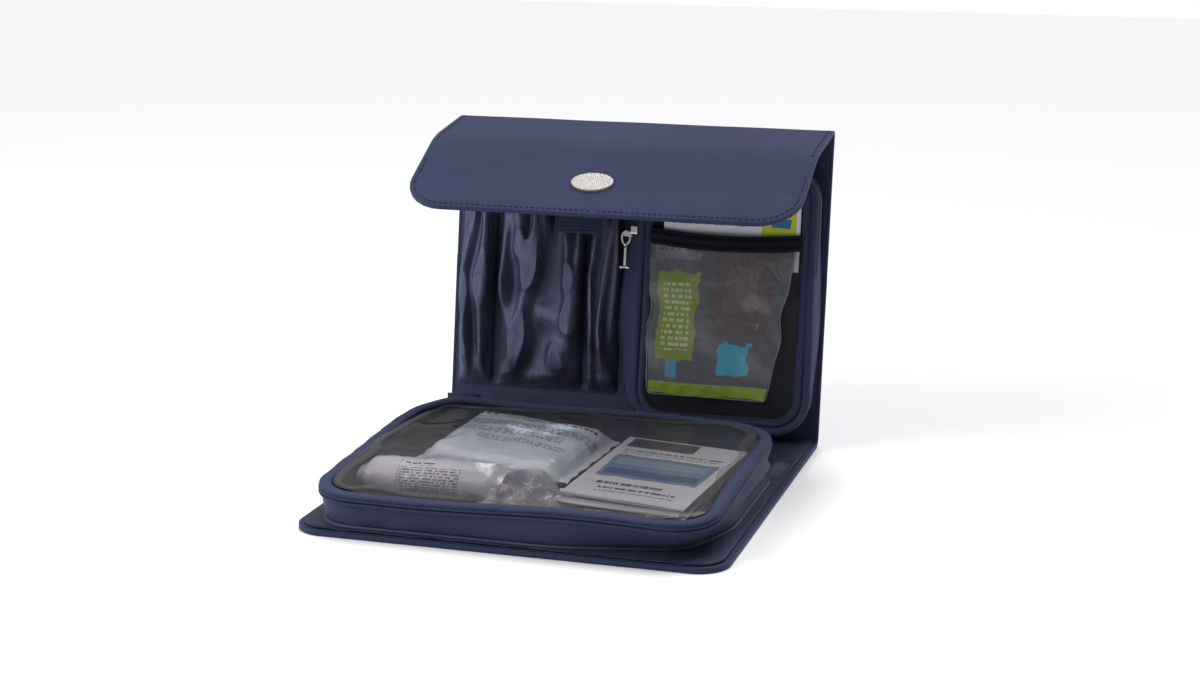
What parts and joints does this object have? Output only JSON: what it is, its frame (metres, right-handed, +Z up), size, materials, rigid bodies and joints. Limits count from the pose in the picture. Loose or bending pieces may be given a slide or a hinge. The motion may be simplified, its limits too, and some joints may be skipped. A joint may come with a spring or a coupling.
{
  "type": "first aid kit",
  "caption": "Folding fabric first aid kit with a closing flap, zipped window pouches, slip pockets and dressings, standing open.",
  "frame": {"origin": "centre of the bounding box, on the surface the kit stands on", "axes": "+X to the right across the case, +Y from the front edge to the back panel, +Z up"},
  "size_m": [0.26, 0.3052, 0.2091],
  "materials": {
    "cover_fabric": "navy coated microfibre with a low sheen",
    "lining_fabric": "dark navy woven lining",
    "wall_fabric": "slate blue woven nylon",
    "rim_fabric": "navy padded rim tape",
    "satin": "shiny gathered satin",
    "welt": "light sewn welt",
    "zip_teeth": "dark moulded coil",
    "webbing": "ribbed woven webbing",
    "elastic": "black woven elastic",
    "mesh": "fine black mesh",
    "clear_film": "clear flexible film",
    "board": "stiffening board",
    "magnet": "plated magnet",
    "nickel": "bright nickel plate",
    "dark_metal": "navy enamelled slider",
    "badge_metal": "satin nickel, finely grained",
    "pack_film": "pale blue film wrap",
    "roll_film": "white film wrap",
    "leaflet_paper": "white coated paper",
    "sachet_film": "printed sealed sachet",
    "card": "white and green printed card"
  },
  "bodies": {
    "base": {"base_cover": "cover_fabric", "base_board": "board", "base_lining": "lining_fabric", "base_magnet": "magnet", "base_gusset": "wall_fabric", "base_welt": "welt", "base_zip_lower": "zip_teeth", "bandage_roll": "roll_film", "dressing_pack": "pack_film", "leaflet": "leaflet_paper", "film_bag": "clear_film"},
    "base_lid": {"base_lid_frame": "rim_fabric", "base_window": "clear_film", "base_zip_upper": "zip_teeth"},
    "base_slider": {"base_slider": "dark_metal"},
    "base_pull": {"base_pull": "dark_metal"},
    "spine": {"spine_cover": "cover_fabric", "spine_lining": "lining_fabric"},
    "back": {"back_cover": "cover_fabric", "back_board": "board", "back_lining": "lining_fabric", "pocket_left": "satin", "pocket_wide": "satin", "pocket_narrow": "satin", "pocket_hems": "satin", "kick_strip": "wall_fabric", "webbing_tab": "webbing", "upright_gusset": "wall_fabric", "upright_zip_lower": "zip_teeth"},
    "upright_lid": {"upright_lid_frame": "rim_fabric", "upright_mesh": "mesh", "upright_zip_upper": "zip_teeth", "card_pack": "card", "sachet": "sachet_film", "film_pocket": "clear_film", "elastic_band": "elastic"},
    "upright_slider": {"upright_slider": "nickel"},
    "pull_ring": {"pull_ring": "nickel"},
    "pull_bar": {"pull_bar": "nickel"},
    "top_fold": {"top_piping": "cover_fabric"},
    "strip": {"strip_cover": "cover_fabric", "strip_lining": "lining_fabric"},
    "flap": {"flap_cover": "cover_fabric", "flap_lining": "lining_fabric", "flap_magnet": "magnet", "badge": "badge_metal"}
  },
  "joints": [
    {"name": "spine_fold", "type": "hinge", "parent": "base", "child": "spine", "pos_m": [0, 0.05037, 0.0016], "axis": [1, 0, 0], "range_deg": [0, 90]},
    {"name": "back_fold", "type": "hinge", "parent": "spine", "child": "back", "pos_m": [0, 0.12137, 0.0016], "axis": [1, 0, 0], "range_deg": [-81.8, 8.2]},
    {"name": "top_fold_turn", "type": "hinge", "parent": "back", "child": "top_fold", "pos_m": [0, 0.15103, 0.20747], "axis": [1, 0, 0], "range_deg": [-21, 0]},
    {"name": "flap_fold", "type": "hinge", "parent": "top_fold", "child": "strip", "pos_m": [0, 0.15103, 0.20747], "axis": [1, 0, 0], "range_deg": [-111, 0]},
    {"name": "closure_fold", "type": "hinge", "parent": "strip", "child": "flap", "pos_m": [0, 0.07799, 0.19088], "axis": [1, 0, 0], "range_deg": [-15.2, 74.8]},
    {"name": "base_lid_lift", "type": "hinge", "parent": "base", "child": "base_lid", "pos_m": [0, -0.14863, 0.02177], "axis": [-1, 0, 0], "range_deg": [-12, 0]},
    {"name": "upright_lid_lift", "type": "hinge", "parent": "back", "child": "upright_lid", "pos_m": [0.066, 0.10158, 0.01152], "axis": [-1, 0, 0], "range_deg": [-10, 0]},
    {"name": "base_slider_run", "type": "slide", "parent": "base", "child": "base_slider", "axis": [1, 0, 0], "range_m": [0, 0.168]},
    {"name": "base_pull_turn", "type": "hinge", "parent": "base_slider", "child": "base_pull", "pos_m": [-0.0872, 0.04487, 0.03577], "axis": [0, 0, 1], "range_deg": [-100, 0]},
    {"name": "upright_slider_run", "type": "slide", "parent": "back", "child": "upright_slider", "axis": [0, 0.1426, 0.9898], "range_m": [-0.011, 0.016]},
    {"name": "pull_ring_turn", "type": "hinge", "parent": "upright_slider", "child": "pull_ring", "pos_m": [-0.0034, 0.11966, 0.13703], "axis": [0, -0.9898, 0.1426], "range_deg": [-60, 0]},
    {"name": "pull_bar_turn", "type": "hinge", "parent": "pull_ring", "child": "pull_bar", "pos_m": [-0.0034, 0.11865, 0.13], "axis": [0, -0.9898, 0.1426], "range_deg": [-20, 5]}
  ],
  "couplings": [
    {"joint": "top_fold_turn", "follows": "spine_fold", "ratio": -0.23333}
  ]
}
